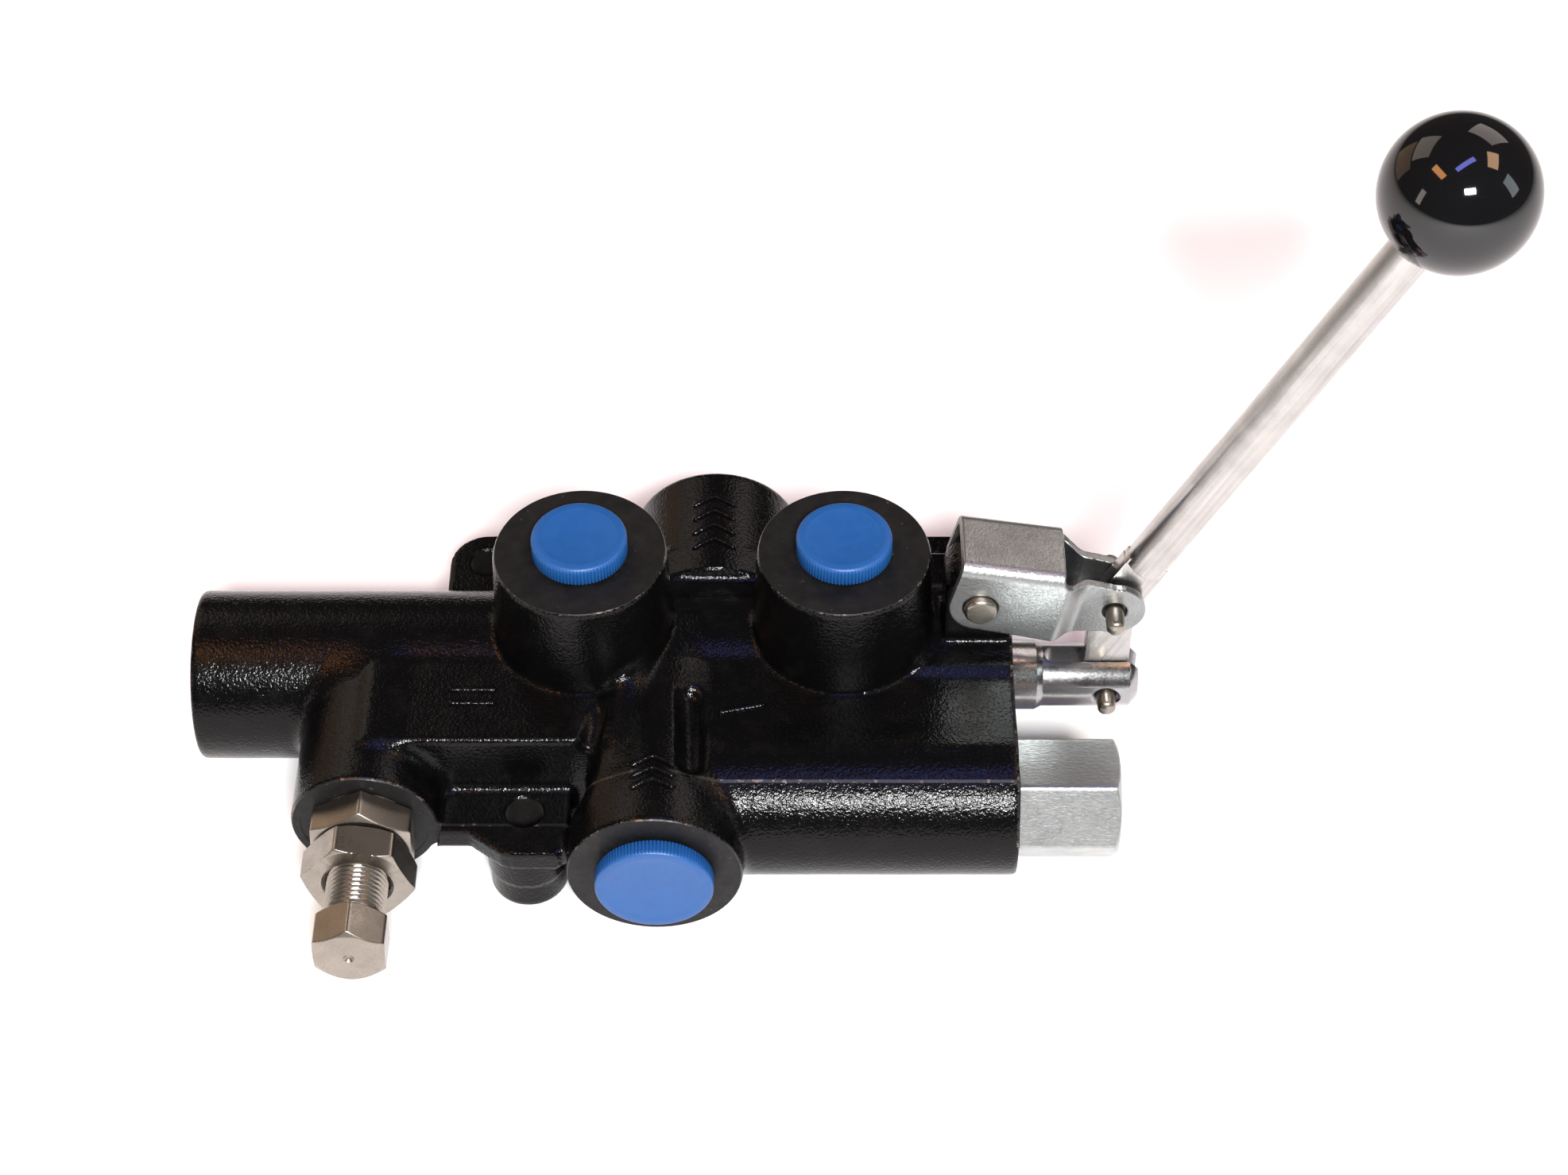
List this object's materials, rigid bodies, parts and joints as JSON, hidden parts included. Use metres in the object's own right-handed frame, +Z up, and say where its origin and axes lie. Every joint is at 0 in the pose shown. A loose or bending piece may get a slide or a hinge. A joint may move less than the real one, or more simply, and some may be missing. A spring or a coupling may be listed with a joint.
{
  "type": "hydraulic monoblock control valve",
  "caption": "Cast hydraulic monoblock valve with a sliding spool, hand lever with ball knob, relief cartridge, check valve and blue capped ports.",
  "frame": {"origin": "middle of the bounding box's bottom, on the plane of the three mounting feet", "axes": "+X along the spool towards the hand lever, +Y towards the outlet port, +Z up out of the work ports"},
  "size_m": [0.3471, 0.1612, 0.2248],
  "materials": {
    "paint": "gloss black paint over a cast surface",
    "zinc": "zinc plated, satin",
    "steel": "ground steel",
    "spring": "spring steel",
    "rubber": "black nitrile",
    "knob": "polished black phenolic",
    "blue": "blue polyethylene"
  },
  "bodies": {
    "housing": {"valve_body": "paint", "end_cap": "steel", "end_cap_oring": "rubber", "end_cap_ring": "spring", "spool_rear_oring": "rubber", "spool_front_oring": "rubber", "spool_wiper": "rubber", "inner_spring_cup": "steel", "centring_spring": "spring", "relief_plug": "zinc", "relief_oring": "rubber", "relief_jam_nut": "zinc", "relief_valve_seat": "steel", "relief_spring": "spring", "check_plug": "zinc", "check_plug_seal": "rubber", "check_spring": "spring", "link_pin": "zinc"},
    "spool_group": {"spool": "steel", "tail_bolt": "steel", "spacer_sleeve": "steel", "outer_spring_cup": "steel", "spool_pin": "zinc"},
    "link": {"link_bracket": "zinc"},
    "hand_lever": {"lever": "zinc", "lever_pin": "zinc", "knob": "knob"},
    "adjuster": {"relief_adjusting_screw": "zinc"},
    "spring_seat": {"relief_spring_seat": "steel"},
    "relief_cone": {"relief_poppet": "steel"},
    "check_cone": {"check_poppet": "steel"},
    "plug_a": {"port_plug_a": "blue"},
    "plug_b": {"port_plug_b": "blue"},
    "plug_in": {"port_plug_in": "blue"},
    "plug_out": {"port_plug_out": "blue"}
  },
  "joints": [
    {"name": "spool_slide", "type": "slide", "parent": "housing", "child": "spool_group", "axis": [1, 0, 0], "range_m": [-0.0095, 0.0095], "stiffness_N_per_m": 3500, "deforming": ["centring_spring"]},
    {"name": "link_pivot", "type": "hinge", "parent": "housing", "child": "link", "pos_m": [0.0438, 0.0184, 0.0682], "axis": [0, 1, 0], "range_deg": [0, 2.2]},
    {"name": "lever_pivot", "type": "hinge", "parent": "link", "child": "hand_lever", "pos_m": [0.0811, 0.0184, 0.06175], "axis": [0, 1, 0], "range_deg": [-17, 17]},
    {"name": "relief_adjust_turn", "type": "hinge", "parent": "housing", "child": "adjuster", "pos_m": [-0.1236, -0.0716, 0.0284], "axis": [0, 1, 0], "range_deg": [0, 1050]},
    {"name": "relief_seat_slide", "type": "slide", "parent": "housing", "child": "spring_seat", "axis": [0, 1, 0], "range_m": [0, 0.0045]},
    {"name": "relief_poppet_lift", "type": "slide", "parent": "housing", "child": "relief_cone", "axis": [0, -1, 0], "range_m": [0, 0.002], "stiffness_N_per_m": 500, "deforming": ["relief_spring"]},
    {"name": "check_poppet_lift", "type": "slide", "parent": "housing", "child": "check_cone", "axis": [1, 0, 0], "range_m": [0, 0.006], "stiffness_N_per_m": 200, "deforming": ["check_spring"]},
    {"name": "port_plug_a_slide", "type": "slide", "parent": "housing", "child": "plug_a", "axis": [0, 0, 1], "range_m": [0, 0.03]},
    {"name": "port_plug_b_slide", "type": "slide", "parent": "housing", "child": "plug_b", "axis": [0, 0, 1], "range_m": [0, 0.03]},
    {"name": "port_plug_in_slide", "type": "slide", "parent": "housing", "child": "plug_in", "axis": [0, -1, 0], "range_m": [0, 0.03]},
    {"name": "port_plug_out_slide", "type": "slide", "parent": "housing", "child": "plug_out", "axis": [0, 1, 0], "range_m": [0, 0.03]}
  ],
  "couplings": [
    {"joint": "lever_pivot", "follows": "spool_slide", "rad_per_m": -30.4},
    {"joint": "relief_seat_slide", "follows": "relief_adjust_turn", "m_per_rad": 0.0002387}
  ]
}
